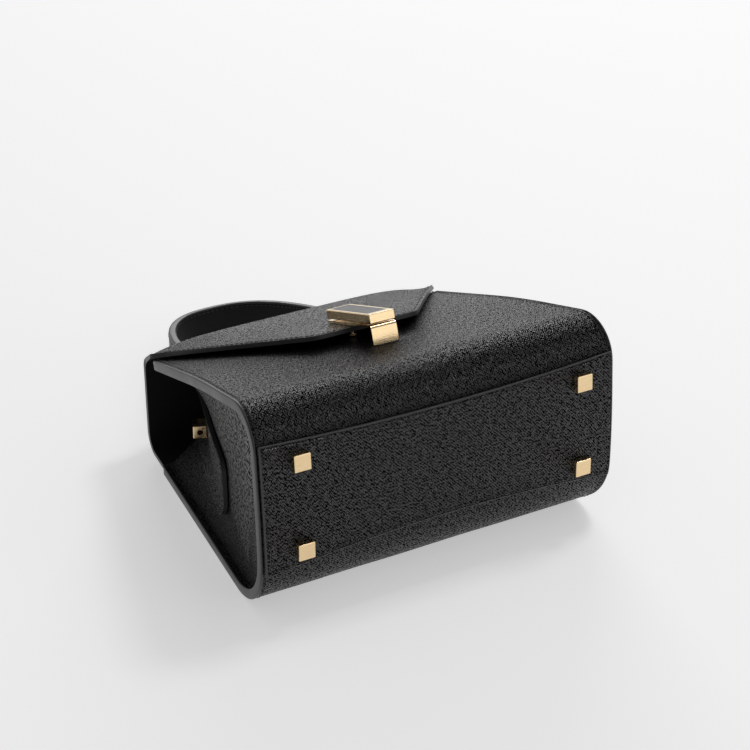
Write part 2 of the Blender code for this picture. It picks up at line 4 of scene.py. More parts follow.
import bmesh
import bpy
from mathutils import Matrix, Vector
from mathutils import noise


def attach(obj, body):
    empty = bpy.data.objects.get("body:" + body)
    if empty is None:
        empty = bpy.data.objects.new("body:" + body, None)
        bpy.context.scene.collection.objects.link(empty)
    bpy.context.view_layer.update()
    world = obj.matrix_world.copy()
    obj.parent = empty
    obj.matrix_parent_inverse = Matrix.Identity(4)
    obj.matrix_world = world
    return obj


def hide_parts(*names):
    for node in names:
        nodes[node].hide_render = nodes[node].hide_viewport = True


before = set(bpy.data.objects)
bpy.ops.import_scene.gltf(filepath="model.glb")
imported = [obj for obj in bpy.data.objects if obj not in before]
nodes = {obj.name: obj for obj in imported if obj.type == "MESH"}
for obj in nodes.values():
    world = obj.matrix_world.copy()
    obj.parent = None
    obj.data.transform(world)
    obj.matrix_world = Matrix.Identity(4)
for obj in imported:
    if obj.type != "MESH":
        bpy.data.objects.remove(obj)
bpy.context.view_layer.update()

MM = 0.001
BODY = "bag"

# Body: the side view is measured as height along the back and depth up from it
BASE_LENGTH = 200 * MM
END_LEAN = 13.4 * MM
BASE_DEPTH = 118.5 * MM
BACK_ANGLE = math.radians(86)
BACK_TOP = 150 * MM
FRONT_TOP_HEIGHT = 157.4 * MM
FRONT_TOP_DEPTH = 67.2 * MM
BACK_CORNER_RADIUS = 35.7 * MM
FRONT_CORNER_RADIUS = 20.4 * MM
BASE_CROWN = 1.9 * MM
FRONT_CROWN = 2.7 * MM
WRAP_WALL = 2.6 * MM
SEAM_GAP = 0.3 * MM

# Gussets and side tabs
GUSSET_WALL = 2.2 * MM
FLANGE_WIDTH = 4.0 * MM
VALLEY_FOOT = 30 * MM
VALLEY_FOOT_INSET = 4.3 * MM
VALLEY_TOP_INSET = 34 * MM
VALLEY_SWEEP = 0.5
VALLEY_FOOT_DEPTH = 17 * MM
VALLEY_DEPTH = 27 * MM
VALLEY_BEND = 4
FRONT_WEB_FULLNESS = 3.0
BACK_WEB_FULLNESS = 1.2
TAB_WALL = 2.2 * MM
TAB_FOOT = 72 * MM
TAB_FRONT_WIDTH = 25 * MM
TAB_BACK_WIDTH = 8 * MM
TAB_CORNER_RADIUS = 6 * MM
TAB_SEAT = 0.7 * MM
TAB_LIMIT = 0.9
TAB_ROW_CROWDING = 1.6
TAB_SWELL = 1.03

# Flap
FLAP_WALL = 2.4 * MM
TOP_HEIGHT = 176.7 * MM
TAIL_LENGTH = 30 * MM
TAIL_SETBACK = 9 * MM
TAIL_SHOULDER = 0.8 * MM
FLAP_BACK_RADIUS = 11 * MM
FLAP_FRONT_RADIUS = 8 * MM
FOLD_DEPTH = 58 * MM
FOLD_CROWN = 7.5 * MM
FOLD_FLATNESS = 6
TONGUE_HALF_WIDTH = 30 * MM
TONGUE_REACH = 75 * MM
TONGUE_RISE = 10 * MM
SHOULDER_REACH = 162 * MM
SHOULDER_RISE = 3.2 * MM
TONGUE_CORNER_RADIUS = 9 * MM

# Base panel
PANEL_WALL = 2.0 * MM
PANEL_MIDDLE = 64.4 * MM
PANEL_DEPTH = 71.1 * MM
PANEL_END_MARGIN = 1.5 * MM
PANEL_BACK_BOW = 6.5 * MM
PANEL_FRONT_BOW = 3.5 * MM
BASE_SIDE = 60 * MM

# Handle
HANDLE_HALF_SPAN = 52.6 * MM
HANDLE_RISE = 103.5 * MM
HANDLE_WIDTH = 19 * MM
HANDLE_THICKNESS = 4.4 * MM
HANDLE_TOP_DEPTH = 47.6 * MM
HANDLE_DROOP = 0.25
HANDLE_SHAPE = 2.47
HANDLE_TOE = 17 * MM
HANDLE_TOE_RADIUS = 5 * MM
HANDLE_SPRING = 157 * MM
HANDLE_RIM = 1.1 * MM
RIM_STEPS = 4

# Fineness of the shapes
MERGE_DISTANCE = 0.01 * MM
WRAP_SPACING = 2.4 * MM
FLAP_SPACING = 2.6 * MM
BAND_SPACING = 2.0 * MM
HANDLE_SPACING = 2.0 * MM
SEAM_SPACING = 3.0 * MM
CORNER_STEPS = 22
CROWN_STEPS = 10
FLAT_CORNER = math.radians(80)
CROWN_SPREAD = 0.15

# Unevenness of the leather's faces, dying out towards its edges
WAVE_FREQUENCY = 28.0
WRAP_WAVE = 0.35 * MM
FLAP_WAVE = 0.3 * MM
FLAP_OUT = Vector((0, 0.3, 0.95))
CALM_EDGE = 12 * MM
CALM_END = 15 * MM

# Thread and edges
STITCH_PITCH = 3.1 * MM
STITCH_LENGTH = 2.3 * MM
THREAD_RADIUS = 0.26 * MM
THREAD_LIFT = 0.3 * THREAD_RADIUS
SEAM_MARGIN = 2.3 * MM
BODY_SEAM_MARGIN = 2.7 * MM
FLAP_STITCH_END = 0.97
BAND_RISE = 0.4 * MM
BAND_ROOT = 0.8 * MM
BAND_OVERHANG = 0.1 * MM
BAND_SOFTNESS = 0.35 * MM

# Grain: pitch and places in millimetres of the leather's own surface
PEBBLE_PITCH = 1.05
PEBBLE_UNEVENNESS = 0.4
GRAIN_DEPTH = 0.25 * MM
CREASE_PLACE = 1.5

# Camera and set
TARGET = Vector((0.0326, 0.0368, 0.04))
CAMERA_DISTANCE = 1.0858
CAMERA_AZIMUTH = math.radians(-29.107)
CAMERA_ELEVATION = math.radians(29.642)
CAMERA_ROLL = math.radians(0.5656)
CAMERA_LENS = 94.37
FLOOR_REACH = 12.0
FLOOR_DROP = 0.05 * MM


# Paths in a plane

def mix(a, b, share):
    """Point or number between a and b."""
    return a + (b - a) * share


def rounded(points, radii, corner_steps=CORNER_STEPS):
    """Line through 2-D points with each inner corner turned into an arc."""
    path = [points[0]]
    for before, corner, after, radius in zip(points, points[1:], points[2:], radii):
        u = (before - corner).normalized()
        v = (after - corner).normalized()
        half = u.angle(v) / 2
        steps = corner_steps if half < FLAT_CORNER else CROWN_STEPS
        centre = corner + (u + v).normalized() * radius / math.sin(half)
        start = corner + u * radius / math.tan(half) - centre
        turn = math.pi - 2 * half
        if u.x * v.y - u.y * v.x > 0:
            turn = -turn
        for step in range(steps + 1):
            path.append(centre + Matrix.Rotation(turn * step / steps, 2) @ start)
    path.append(points[-1])
    return path


def shifted(path, distance):
    """Path moved to its right by distance, with mitred corners."""
    moved = []
    last = len(path) - 1
    for index, point in enumerate(path):
        before = (point - path[index - 1]).normalized() if index else None
        after = (path[index + 1] - point).normalized() if index < last else None
        before = before or after
        after = after or before
        side = Vector((before.y + after.y, -before.x - after.x)).normalized()
        stretch = side.dot(Vector((before.y, -before.x)))
        moved.append(point + side * distance / stretch)
    return moved


def lengths_along(path):
    """Distance of each point from the path's start."""
    total = [0.0]
    for a, b in zip(path, path[1:]):
        total.append(total[-1] + (b - a).length)
    return total


def at_length(path, lengths, distance):
    """Point at a distance along the path."""
    for index in range(1, len(path)):
        if distance <= lengths[index] or index == len(path) - 1:
            share = (distance - lengths[index - 1]) / (lengths[index] - lengths[index - 1])
            return mix(path[index - 1], path[index], share)
    return path[-1]


def even(path, spacing):
    """Path with its points about the same distance apart."""
    lengths = lengths_along(path)
    count = max(2, round(lengths[-1] / spacing))
    return [at_length(path, lengths, lengths[-1] * step / count) for step in range(count + 1)]


def crossing(path, measure, value):
    """First point of the path where measure(point) passes value."""
    for a, b in zip(path, path[1:]):
        low, high = measure(a), measure(b)
        if (low - value) * (high - value) <= 0 and low != high:
            return mix(a, b, (value - low) / (high - low))
    return path[-1]


# The bag's side view

BACK_CORNER = Vector((0.0, 0.0))
BASE_DIRECTION = Vector((math.cos(BACK_ANGLE), math.sin(BACK_ANGLE)))
FRONT_CORNER = BASE_DIRECTION * BASE_DEPTH
FRONT_TOP = Vector((FRONT_TOP_HEIGHT, FRONT_TOP_DEPTH))
FRONT_DIRECTION = (FRONT_TOP - FRONT_CORNER).normalized()
FRONT_NORMAL = Vector((-FRONT_DIRECTION.y, FRONT_DIRECTION.x))
REST_MIDDLE = (BACK_TOP + BACK_CORNER_RADIUS / math.tan(BACK_ANGLE / 2)) / 2


def raised_middle(a, b, rise):
    """Middle of a stretch, moved out to its left, with the radius that rounds it softly."""
    stretch = b - a
    side = Vector((-stretch.y, stretch.x)).normalized()
    half_turn = math.atan2(rise, stretch.length / 2)
    return mix(a, b, 0.5) + side * rise, stretch.length * CROWN_SPREAD / math.tan(half_turn)


def body_profile():
    """Outer line of the wrap: from the top of the back, round the base, to the top of the front."""
    base_middle, base_radius = raised_middle(BACK_CORNER, FRONT_CORNER, BASE_CROWN)
    front_middle, front_radius = raised_middle(FRONT_CORNER, FRONT_TOP, FRONT_CROWN)
    corners = [Vector((BACK_TOP, 0.0)), BACK_CORNER, base_middle,
               FRONT_CORNER, front_middle, FRONT_TOP]
    return rounded(corners, [BACK_CORNER_RADIUS, base_radius, FRONT_CORNER_RADIUS, front_radius])


PROFILE = body_profile()
LINING_LINE = shifted(PROFILE, WRAP_WALL + SEAM_GAP + GUSSET_WALL)


def front_point(reach, rise):
    """Point over the front panel: reach from the front corner, rise out from its chord."""
    return FRONT_CORNER + FRONT_DIRECTION * reach + FRONT_NORMAL * rise


def front_reach(point):
    """How far up the front panel a point of the side view lies."""
    return (point - FRONT_CORNER).dot(FRONT_DIRECTION)


def half_length(point):
    """Half of the bag's length at a point of the side view."""
    above_base = point.x - point.y / math.tan(BACK_ANGLE)
    return BASE_LENGTH / 2 - END_LEAN * above_base / FRONT_TOP_HEIGHT


def place(x, point):
    """Point in space from a length and a point of the side view."""
    return Vector((x, point.x - REST_MIDDLE, point.y))


# Sheets of leather

def link_piece(name, mesh, looks):
    """Smooth piece made of a mesh and its materials."""
    for look in looks:
        mesh.materials.append(look)
    mesh.shade_smooth()
    made = bpy.data.objects.new(name, mesh)
    bpy.context.collection.objects.link(made)
    return made


def leather_sheet(name, rows, towards, edge_gaps, looks):
    """Open sheet over a grid of points; edge_gaps is each point's distance from the cut edge."""
    wide = len(rows[0])
    points = [point for row in rows for point in row]
    gaps = [gap for row in edge_gaps for gap in row]
    across = lengths_along(rows[len(rows) // 2])
    down = lengths_along([row[wide // 2] for row in rows])
    faces = []
    for r in range(len(rows) - 1):
        for c in range(wide - 1):
            a = r * wide + c
            faces.append([a, a + 1, a + wide + 1, a + wide])
    facing = Vector()
    for a, b, c, d in faces:
        facing += (points[c] - points[a]).cross(points[d] - points[b])
    if facing.dot(towards) < 0:
        faces = [face[::-1] for face in faces]
    mesh = bpy.data.meshes.new(name)
    mesh.from_pydata(points, [], faces)
    uv = mesh.uv_layers.new(name="leather")
    for loop in mesh.loops:
        row, column = divmod(loop.vertex_index, wide)
        uv.data[loop.index].uv = (across[column] * 1000, down[row] * 1000)
    attribute = mesh.attributes.new("edge_gap", "FLOAT", "POINT")
    attribute.data.foreach_set("value", [gap * 1000 for gap in gaps])
    work = bmesh.new()
    work.from_mesh(mesh)
    bmesh.ops.remove_doubles(work, verts=work.verts, dist=MERGE_DISTANCE)
    bmesh.ops.dissolve_degenerate(work, edges=work.edges, dist=MERGE_DISTANCE)
    work.to_mesh(mesh)
    work.free()
    return link_piece(name, mesh, looks)


def thicken(piece, wall, side=-1, round_off=0.7 * MM):
    """Wall, painted cut edge and softly rounded rim."""
    solid = piece.modifiers.new("wall", "SOLIDIFY")
    solid.thickness = wall
    solid.offset = side
    solid.use_even_offset = True
    solid.use_quality_normals = True
    solid.material_offset = 1
    solid.material_offset_rim = 2
    bevel = piece.modifiers.new("rounded_rim", "BEVEL")
    bevel.width = round_off
    bevel.segments = 3
    bevel.limit_method = "ANGLE"
    bevel.angle_limit = math.radians(50)
    bevel.material = 2
    bevel.harden_normals = True


def on_bag(piece, node):
    """Piece stands for a node of the bag's body."""
    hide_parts(node)
    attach(piece, BODY)


def waviness(point, amount):
    """Slow unevenness of hand-made leather, the same on every run."""
    return amount * noise.noise(point * WAVE_FREQUENCY)


def make_wrap(looks):
    """Front, base and back in one wall, softly uneven."""
    line = even(PROFILE, WRAP_SPACING)
    inner = shifted(line, 1.0)
    lengths = lengths_along(line)
    columns = 60
    rows, gaps = [], []
    for index, point in enumerate(line):
        normal = point - inner[index]
        out = Vector((0, normal.x, normal.y)).normalized()
        end_gap = min(lengths[index], lengths[-1] - lengths[index])
        row, gap_row = [], []
        for column in range(columns + 1):
            share = 2 * column / columns - 1
            x = share * half_length(point)
            spot = place(x, point)
            flat = min(1.0, point.y / CALM_EDGE)
            calm = min(1.0, (half_length(point) - abs(x)) / CALM_END) * flat
            row.append(spot + out * waviness(spot, WRAP_WAVE) * calm)
            gap_row.append(min(end_gap, half_length(point) - abs(x)))
        rows.append(row)
        gaps.append(gap_row)
    wrap = leather_sheet("wrap_leather", rows, Vector((0, -1, 1)), gaps, looks)
    thicken(wrap, WRAP_WALL)
    on_bag(wrap, "body_wrap")


def valley_share(height):
    """0 at the foot of the valley, 1 at the top of the front panel."""
    return (height - VALLEY_FOOT) / (FRONT_TOP_HEIGHT - VALLEY_FOOT)


def valley_point(height):
    """Point of the fold line in the side view: it bends towards the back at its foot."""
    share = min(max(valley_share(height), 0.0), 1.0)
    return Vector((height, mix(VALLEY_DEPTH, VALLEY_FOOT_DEPTH, (1 - share) ** VALLEY_BEND)))


def valley_inset(height):
    """How far the fold line lies inside the end of the bag."""
    share = max(valley_share(height), 0.0)
    return mix(VALLEY_FOOT_INSET, VALLEY_TOP_INSET, mix(share, share ** 3, VALLEY_SWEEP))


def web_edge(side, share):
    """Point of the web's outer edge: back for side -1, front for side 1, foot at share 0."""
    path = LINING_LINE if side < 0 else LINING_LINE[::-1]
    return crossing(path, lambda point: point.x, mix(VALLEY_FOOT, path[0].x, share))


def web_top():
    """Height of the top of the gussets in their middle."""
    return (LINING_LINE[0].x + LINING_LINE[-1].x) / 2


def web_share(height):
    """Share of the way up the gusset, measured in its middle."""
    return (height - VALLEY_FOOT) / (web_top() - VALLEY_FOOT)


def web_point(side, share, across):
    """Point of the gusset's visible face and its inset; across is 0 in the fold, 1 at the edge."""
    edge = web_edge(side, share)
    height = mix(VALLEY_FOOT, web_top(), share)
    flat = mix(valley_point(height), edge, across)
    fullness = FRONT_WEB_FULLNESS if side > 0 else BACK_WEB_FULLNESS
    inset = mix(FLANGE_WIDTH, valley_inset(height), 1 - across ** fullness)
    return flat, inset


def end_point(end, flat, inset):
    """Point at one end of the bag, inset from its end plane."""
    return place(end * (half_length(flat) - inset), flat)


def gusset_foot(webs, steps):
    """Rows between the gusset's two sides, round the base, meeting at the valley's foot."""
    line = [point for point in LINING_LINE if point.x < VALLEY_FOOT]
    line = [web_edge(-1, 0.0)] + line + [web_edge(1, 0.0)]
    lengths = lengths_along(line)
    rows = []
    for step in range(1, steps):
        edge = at_length(line, lengths, lengths[-1] * step / steps)
        row = [(edge, 0.0), (edge, FLANGE_WIDTH / 2)]
        for web in range(webs + 1):
            flat = mix(edge, valley_point(VALLEY_FOOT), web / webs)
            row.append((flat, mix(FLANGE_WIDTH, VALLEY_FOOT_INSET, web / webs)))
        rows.append(row)
    return rows


def make_gusset(end, name, node, looks):
    """Flange and folded web of one end of the bag."""
    heights, webs, foot_steps = 44, 16, 90
    rows = []
    for side in (-1, 1):
        shares = [step / heights for step in range(heights + 1)]
        for share in (shares[::-1] if side < 0 else shares):
            edge = web_edge(side, share)
            row = [(edge, 0.0), (edge, FLANGE_WIDTH / 2)]
            row += [web_point(side, share, 1 - step / webs) for step in range(webs + 1)]
            rows.append(row)
        if side < 0:
            rows += gusset_foot(webs, foot_steps)
    grid = [[end_point(end, flat, inset) for flat, inset in row] for row in rows]
    gaps = [[0.0] + [FLANGE_WIDTH * 3] * (len(row) - 1) for row in rows]
    gusset = leather_sheet(name, grid, Vector((end, 0, 0)), gaps, looks)
    thicken(gusset, GUSSET_WALL)
    on_bag(gusset, node)


def tab_half_width(side):
    """Width of the tab on one side of the fold."""
    return TAB_FRONT_WIDTH if side > 0 else TAB_BACK_WIDTH


def web_reach(side, share, width):
    """Width beside the fold as a share of the way to the web's edge, short of the edge."""
    fold = web_point(side, share, 0.0)[0]
    edge = web_point(side, share, 1.0)[0]
    return min(width / (edge - fold).length, TAB_LIMIT)


def tab_point(end, side, share, width, lift):
    """Point of the tab beside the fold, lifted off the gusset along the bag's length."""
    flat, inset = web_point(side, share, web_reach(side, share, width))
    return end_point(end, flat, inset - lift)


def tab_rows(end, rises, half_columns, inwards, lift):
    """Grid of the tab, its outline drawn inwards by a margin."""
    foot_share = web_share(TAB_FOOT + inwards)
    rows, gaps = [], []
    tall = web_top() - VALLEY_FOOT
    radius = max(TAB_CORNER_RADIUS - inwards, 0.5 * MM)
    for step in range(rises + 1):
        share = mix(foot_share, 1.0, (step / rises) ** TAB_ROW_CROWDING)
        above = (share - foot_share) * tall
        cut = max(radius - above, 0.0)
        corner = radius - math.sqrt(radius ** 2 - cut ** 2)
        row, gap_row = [], []
        for column in range(-half_columns, half_columns + 1):
            side = -1 if column < 0 else 1
            half_width = tab_half_width(side) - inwards - corner
            part = abs(column) / half_columns
            row.append(tab_point(end, side, share, half_width * part, lift))
            gap_row.append(min(half_width * (1 - part) + 0.4 * corner, above))
        rows.append(row)
        gaps.append(gap_row)
    return rows, gaps


def make_side_tab(end, name, node, looks):
    """Wide tab over the fold, square at its foot."""
    rises, half_columns = 60, 12
    rows, gaps = tab_rows(end, rises, half_columns, 0.0, TAB_SEAT)
    tab = leather_sheet(name, rows, Vector((end, 0, 0)), gaps, looks)
    thicken(tab, TAB_WALL, 1)
    on_bag(tab, node)


def flap_width(height):
    """Half of the flap's width near its tail: the tail is set back inside the gussets."""
    full = half_length(Vector((height, 0.0)))
    share = min(max((height - BACK_TOP - TAIL_SHOULDER) / TAIL_SHOULDER, 0.0), 1.0)
    return mix(full - TAIL_SETBACK, full, share)


def tongue_edge(spacing):
    """Free edge of the flap: length against reach along the front, from the left to the right."""
    half_fold = half_length(front_point(SHOULDER_REACH, 0.0))
    outline = [Vector((-half_fold, SHOULDER_REACH)), Vector((-TONGUE_HALF_WIDTH, TONGUE_REACH)),
               Vector((TONGUE_HALF_WIDTH, TONGUE_REACH)), Vector((half_fold, SHOULDER_REACH))]
    return even(rounded(outline, [TONGUE_CORNER_RADIUS] * 2, 12), spacing)


def flap_line(share, reach):
    """Outer line of the flap in the side view; share is the place across it, -1 to 1."""
    crown = FOLD_CROWN * (1 - abs(share) ** FOLD_FLATNESS)
    down = (SHOULDER_REACH - reach) / (SHOULDER_REACH - TONGUE_REACH)
    rise = mix(SHOULDER_RISE, TONGUE_RISE, down)
    tail_depth = WRAP_WALL + SEAM_GAP
    corners = [Vector((BACK_TOP - TAIL_LENGTH, tail_depth)), Vector((TOP_HEIGHT, tail_depth)),
               Vector((TOP_HEIGHT, FOLD_DEPTH + crown)), front_point(reach, rise)]
    return rounded(corners, [FLAP_BACK_RADIUS, FLAP_FRONT_RADIUS], 10)


def edge_distance(edge, spot):
    """Distance from a spot of the tongue to its free edge."""
    best = 1.0
    for a, b in zip(edge, edge[1:]):
        along = b - a
        share = min(max((spot - a).dot(along) / along.length_squared, 0.0), 1.0)
        best = min(best, (a + along * share - spot).length)
    return best


def flap_column(end, half_fold, tongue_rows):
    """Points of the flap from its tail to one place on its free edge, with their reach."""
    share = end.x / half_fold
    line = flap_line(share, end.y)
    rises = (-TAIL_LENGTH / 2, 0.0, TAIL_SHOULDER, 2 * TAIL_SHOULDER)
    tail = [line[0]] + [Vector((BACK_TOP + rise, line[0].y)) for rise in rises]
    arcs = line[1:-1]
    half = len(arcs) // 2
    top_rows = 12
    top = [mix(arcs[half - 1], arcs[half], step / top_rows) for step in range(1, top_rows)]
    path = tail + arcs[:half] + top + arcs[half:]
    fold_row = len(path) - 1
    path += [mix(line[-2], line[-1], step / tongue_rows) for step in range(1, tongue_rows + 1)]
    column = []
    for row, point in enumerate(path):
        if row < len(tail):
            x = share * flap_width(point.x)
        elif row <= fold_row:
            x = share * half_length(point)
        else:
            x = mix(share * half_length(point), end.x, (row - fold_row) / tongue_rows)
        column.append((x, point))
    return column, fold_row


def make_flap(looks):
    """Tail, top and tongue in one sheet."""
    edge = tongue_edge(FLAP_SPACING)
    half_fold = half_length(front_point(SHOULDER_REACH, 0.0))
    tongue_rows = 30
    rows, gaps = [], []
    for end in edge:
        column, fold_row = flap_column(end, half_fold, tongue_rows)
        row, gap_row = [], []
        for index, (x, point) in enumerate(column):
            spot = place(x, point)
            gap = half_length(point) - abs(x)
            if index > fold_row:
                gap = edge_distance(edge, Vector((x, front_reach(point))))
                calm = min(1.0, gap / CALM_EDGE)
                spot = spot + FLAP_OUT * waviness(spot, FLAP_WAVE) * calm
            row.append(spot)
            gap_row.append(gap)
        rows.append(row)
        gaps.append(gap_row)
    flap = leather_sheet("flap_leather", rows, Vector((0, 1, 1)), gaps, looks)
    thicken(flap, FLAP_WALL)
    on_bag(flap, "flap")


def base_line(rise):
    """Side view of the base, from the back corner to the front one, lifted by rise."""
    return [point for point in shifted(PROFILE, -rise) if point.x < BASE_SIDE]


def panel_grid(columns, steps, inwards, rise):
    """Grid of the base panel with its outline drawn inwards, lifted off the base by rise."""
    lifted = base_line(rise)
    rows = []
    for column in range(columns + 1):
        share = 2 * column / columns - 1
        bow = 1 - share * share
        back = PANEL_MIDDLE - PANEL_DEPTH / 2 + PANEL_BACK_BOW * bow + inwards
        front = PANEL_MIDDLE + PANEL_DEPTH / 2 - PANEL_FRONT_BOW * bow - inwards
        row = []
        for step in range(steps + 1):
            along = mix(back, front, step / steps)
            point = crossing(lifted, lambda spot: spot.dot(BASE_DIRECTION), along)
            row.append(place(share * (half_length(point) - PANEL_END_MARGIN - inwards), point))
        rows.append(row)
    return rows


def make_base_panel(looks):
    """Second layer on the base, its long edges bowed inwards."""
    columns, steps = 70, 26
    rows = panel_grid(columns, steps, 0.0, SEAM_GAP + PANEL_WALL)
    gaps = []
    for column in range(columns + 1):
        width = (rows[column][-1] - rows[column][0]).length
        end_gap = BASE_LENGTH * min(column, columns - column) / columns
        gaps.append([min(end_gap, width * min(step, steps - step) / steps)
                     for step in range(steps + 1)])
    panel = leather_sheet("base_leather", rows, Vector((0, -1, 0)), gaps, looks)
    thicken(panel, PANEL_WALL)
    on_bag(panel, "base_panel")


def closed_strip(name, rows):
    """Mesh of a closed body through rows of points, each row one turn round its section."""
    count = len(rows[0])
    points = [point for row in rows for point in row]
    faces = []
    for start in range(0, (len(rows) - 1) * count, count):
        for c in range(count):
            after = (c + 1) % count
            faces.append([start + c, start + after, start + count + after, start + count + c])
    faces.append(list(range(count))[::-1])
    faces.append([(len(rows) - 1) * count + c for c in range(count)])
    mesh = bpy.data.meshes.new(name)
    mesh.from_pydata(points, [], faces)
    return mesh


def face_outwards(mesh):
    """Merges doubled points and turns every face of a closed body outwards."""
    work = bmesh.new()
    work.from_mesh(mesh)
    bmesh.ops.remove_doubles(work, verts=work.verts, dist=MERGE_DISTANCE)
    bmesh.ops.recalc_face_normals(work, faces=work.faces)
    work.to_mesh(mesh)
    work.free()


def make_edge_band(end, name, look):
    """One coat of edge paint over the wrap's end and the gusset's rim behind it."""
    width = WRAP_WALL + SEAM_GAP + GUSSET_WALL
    soft, shoulder = BAND_SOFTNESS, 0.7 * BAND_RISE
    half = [(-BAND_OVERHANG, -BAND_ROOT), (-BAND_OVERHANG, 0.0), (soft / 2, shoulder),
            (2 * soft, BAND_RISE)]
    section = half + [(width - inwards, out) for inwards, out in reversed(half)]
    line = even(PROFILE, BAND_SPACING)
    lines = [shifted(line, inwards) for inwards, out in section]
    rows = []
    for index in range(len(line)):
        rows.append([place(end * (half_length(lines[side][index]) + out), lines[side][index])
                     for side, (inwards, out) in enumerate(section)])
    mesh = closed_strip(name, rows)
    face_outwards(mesh)
    band = link_piece(name, mesh, [look])
    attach(band, BODY)


def handle_centre():
    """Middle line of the handle, as points of length and height, from the left toe to the right."""
    half_span = HANDLE_HALF_SPAN - HANDLE_THICKNESS / 2
    rise = HANDLE_RISE + (TOP_HEIGHT - HANDLE_SPRING) - HANDLE_THICKNESS / 2
    seat = TOP_HEIGHT + SEAM_GAP + HANDLE_THICKNESS / 2
    arch = []
    steps = 160
    for step in range(steps + 1):
        turn = math.pi * (1 - step / steps)
        x = math.copysign(abs(math.cos(turn)) ** (2 / HANDLE_SHAPE), math.cos(turn)) * half_span
        y = HANDLE_SPRING + math.sin(turn) ** (2 / HANDLE_SHAPE) * rise
        if y > seat + HANDLE_TOE_RADIUS * 1.5:
            arch.append(Vector((x, y)))
    slope = (arch[1].x - arch[0].x) / (arch[1].y - arch[0].y)
    leg = Vector((arch[0].x - slope * (arch[0].y - seat), seat))
    toe = Vector((leg.x - HANDLE_TOE, seat))
    turned = rounded([toe, leg, arch[0]], [HANDLE_TOE_RADIUS], 12)
    mirrored = [Vector((-point.x, point.y)) for point in reversed(turned)]
    return turned[:-1] + arch + mirrored[1:]


def handle_spot(point, side):
    """Place on the handle; side is 0 at its upper rim, 1 at its lower."""
    top = HANDLE_TOP_DEPTH - HANDLE_DROOP * (point.y - TOP_HEIGHT)
    return Vector((point.x, point.y - REST_MIDDLE, top - side * HANDLE_WIDTH))


def handle_section():
    """One turn round the strap: places across it, with shares down its width."""
    half = HANDLE_THICKNESS / 2
    ring = []
    for corner in range(4):
        across = 1 if corner in (0, 3) else -1
        for step in range(RIM_STEPS + 1):
            turn = math.pi / 2 * step / RIM_STEPS
            lean, push = math.sin(turn), math.cos(turn)
            if corner in (1, 3):
                lean, push = push, lean
            inwards = HANDLE_RIM * (1 - lean)
            drop = inwards if corner in (0, 1) else HANDLE_WIDTH - inwards
            ring.append((across * (half - HANDLE_RIM + HANDLE_RIM * push), drop / HANDLE_WIDTH))
    faces_across = 8
    half_turn = len(ring) // 2
    section = []
    for index, (across, share) in enumerate(ring):
        section.append((across, share))
        if index % half_turn == half_turn - 1:
            next_across, next_share = ring[(index + 1) % len(ring)]
            for step in range(1, faces_across):
                part = step / faces_across
                section.append((mix(across, next_across, part), mix(share, next_share, part)))
    return section


def sort_strap_faces(mesh):
    """Gives the strap's rims the second material and its inner face the third."""
    gaps = mesh.attributes["edge_gap"].data
    arch_middle = Vector((0.0, HANDLE_SPRING - REST_MIDDLE, 0.0))
    for face in mesh.polygons:
        if all(gaps[index].value < HANDLE_RIM * 1000 + 0.01 for index in face.vertices):
            face.material_index = 1
        elif face.normal.dot(arch_middle - Vector((face.center.x, face.center.y, 0.0))) > 0:
            face.material_index = 2


def make_handle(looks):
    """Flat strap bent into an arch, with round painted rims."""
    centre = even(handle_centre(), HANDLE_SPACING)
    section = handle_section()
    lines = {across: shifted(centre, across) for across, share in section}
    rows = [[handle_spot(lines[across][index], share) for across, share in section]
            for index in range(len(centre))]
    mesh = closed_strip("handle_strap", rows)
    lengths = lengths_along(centre)
    uv = mesh.uv_layers.new(name="leather")
    for loop in mesh.loops:
        row, column = divmod(loop.vertex_index, len(section))
        uv.data[loop.index].uv = (section[column][1] * HANDLE_WIDTH * 1000, lengths[row] * 1000)
    gaps = [min(share, 1 - share) * HANDLE_WIDTH * 1000 for across, share in section] * len(rows)
    mesh.attributes.new("edge_gap", "FLOAT", "POINT").data.foreach_set("value", gaps)
    face_outwards(mesh)
    sort_strap_faces(mesh)
    on_bag(link_piece("handle_strap", mesh, looks), "handle")


# Shader helpers

def new_group(name, inputs, outputs):
    """Empty node group with number or vector sockets; returns it with its ends."""
    group = bpy.data.node_groups.new(name, "ShaderNodeTree")
    for label, kind, value in inputs:
        socket = group.interface.new_socket(name=label, in_out="INPUT", socket_type=kind)
        if value is not None:
            socket.default_value = value
    for label, kind in outputs:
        group.interface.new_socket(name=label, in_out="OUTPUT", socket_type=kind)
    return group, group.nodes.new("NodeGroupInput"), group.nodes.new("NodeGroupOutput")


def wire(tree, target, value):
    """Links a socket, or sets a plain value."""
    if isinstance(value, bpy.types.NodeSocket):
        tree.links.new(value, target)
    else:
        target.default_value = value


def sum_node(tree, operation, *values, clamp=False):
    """Math node on up to three values."""
    node = tree.nodes.new("ShaderNodeMath")
    node.operation = operation
    node.use_clamp = clamp
    for socket, value in zip(node.inputs, values):
        wire(tree, socket, value)
    return node.outputs[0]


def vector_node(tree, operation, *values):
    """Vector math node."""
    node = tree.nodes.new("ShaderNodeVectorMath")
    node.operation = operation
    for socket, value in zip(node.inputs, values):
        wire(tree, socket, value)
    return node.outputs[0]


def range_node(tree, value, from_low, from_high, to_low, to_high):
    """Value mapped from one range to another, held inside it."""
    node = tree.nodes.new("ShaderNodeMapRange")
    wire(tree, node.inputs["Value"], value)
    for label, number in (("From Min", from_low), ("From Max", from_high),
                          ("To Min", to_low), ("To Max", to_high)):
        wire(tree, node.inputs[label], number)
    return node.outputs["Result"]


